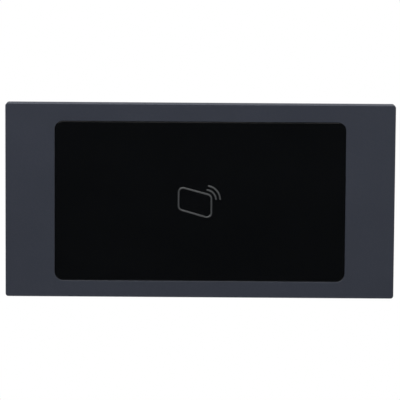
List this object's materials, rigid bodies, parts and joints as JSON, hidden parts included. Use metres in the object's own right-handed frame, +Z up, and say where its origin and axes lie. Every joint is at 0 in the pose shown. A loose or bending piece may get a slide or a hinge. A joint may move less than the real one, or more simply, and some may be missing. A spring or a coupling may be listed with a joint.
{
  "type": "rfid card reader",
  "caption": "Flush card-reader module with a metal bezel, a black window with a card-and-waves symbol, and a rear connector housing.",
  "frame": {"origin": "centre of the four carrier holes, on the seating plane at the back of the front frame", "axes": "+X right and +Z up as seen from the front; +Y out of the back, so the front faces -Y"},
  "size_m": [0.11, 0.033, 0.055],
  "materials": {
    "frame_paint": "fine satin powder coat, anthracite",
    "window_gloss": "gloss black acrylic",
    "symbol_grey": "translucent grey",
    "black_foam": "closed-cell foam tape",
    "opal_plastic": "opal",
    "black_rubber": "moulded silicone, matt",
    "led_package": "white package, yellow phosphor",
    "circuit_board": "green solder mask",
    "copper": "bare copper traces",
    "ceramic_part": "tan ceramic with tinned ends",
    "ferrite": "dark flexible ferrite",
    "black_plastic": "moulded, fine texture",
    "chip_epoxy": "moulded epoxy",
    "gold_pin": "gold-flashed",
    "tinned_lead": "tinned",
    "can_metal": "bright drawn",
    "white_nylon": "natural nylon",
    "dip_red": "moulded red",
    "membrane": "expanded membrane",
    "housing_plastic": "moulded, spark-eroded texture",
    "screw_steel": "zinc plated",
    "spring_steel": "drawn wire",
    "label_film": "silver polyester film"
  },
  "bodies": {
    "module": {"front_frame": "frame_paint", "window_lens": "window_gloss", "symbol_inlay": "symbol_grey", "lens_adhesive": "black_foam", "light_diffuser": "opal_plastic", "light_shroud": "black_rubber", "backlight_leds": "led_package", "antenna_board": "circuit_board", "antenna_coil": "copper", "tuning_capacitors": "ceramic_part", "ferrite_sheet": "ferrite", "board_link_header": "black_plastic", "board_link_pins": "gold_pin", "board_link_socket": "black_plastic", "main_board": "circuit_board", "reader_chip": "chip_epoxy", "controller_chip": "chip_epoxy", "controller_leads": "tinned_lead", "bus_transceiver": "chip_epoxy", "transceiver_leads": "tinned_lead", "crystal": "can_metal", "power_inductor": "ferrite", "capacitor_can": "can_metal", "capacitor_base": "black_plastic", "chip_passives": "ceramic_part", "buzzer": "black_plastic", "sound_membrane": "membrane", "bus_in_socket": "white_nylon", "bus_in_pins": "tinned_lead", "bus_out_socket": "white_nylon", "bus_out_pins": "tinned_lead", "dip_switch_body": "dip_red", "tamper_switch_body": "black_plastic", "tamper_contacts": "gold_pin", "tamper_spring": "spring_steel", "stack_screws": "screw_steel", "board_spacers": "white_nylon", "rear_housing": "housing_plastic", "housing_gasket": "black_foam", "housing_screws": "screw_steel", "rating_label": "label_film"},
    "tamper_button": {"tamper_plunger": "white_nylon"},
    "address_slider_1": {"dip_slider_1": "white_nylon"},
    "address_slider_2": {"dip_slider_2": "white_nylon"},
    "address_slider_3": {"dip_slider_3": "white_nylon"},
    "address_slider_4": {"dip_slider_4": "white_nylon"},
    "address_cover": {"dip_cover": "black_rubber"}
  },
  "joints": [
    {"name": "tamper_press", "type": "slide", "parent": "module", "child": "tamper_button", "axis": [0, -1, 0], "range_m": [0, 0.003], "stiffness_N_per_m": 150, "springref_m": -0.003, "deforming": ["tamper_spring"]},
    {"name": "address_slide_1", "type": "slide", "parent": "module", "child": "address_slider_1", "axis": [0, 0, 1], "range_m": [0, 0.002]},
    {"name": "address_slide_2", "type": "slide", "parent": "module", "child": "address_slider_2", "axis": [0, 0, 1], "range_m": [0, 0.002]},
    {"name": "address_slide_3", "type": "slide", "parent": "module", "child": "address_slider_3", "axis": [0, 0, 1], "range_m": [0, 0.002]},
    {"name": "address_slide_4", "type": "slide", "parent": "module", "child": "address_slider_4", "axis": [0, 0, 1], "range_m": [0, 0.002]},
    {"name": "address_cover_off", "type": "slide", "parent": "module", "child": "address_cover", "axis": [0, 1, 0], "range_m": [0, 0.016]}
  ]
}
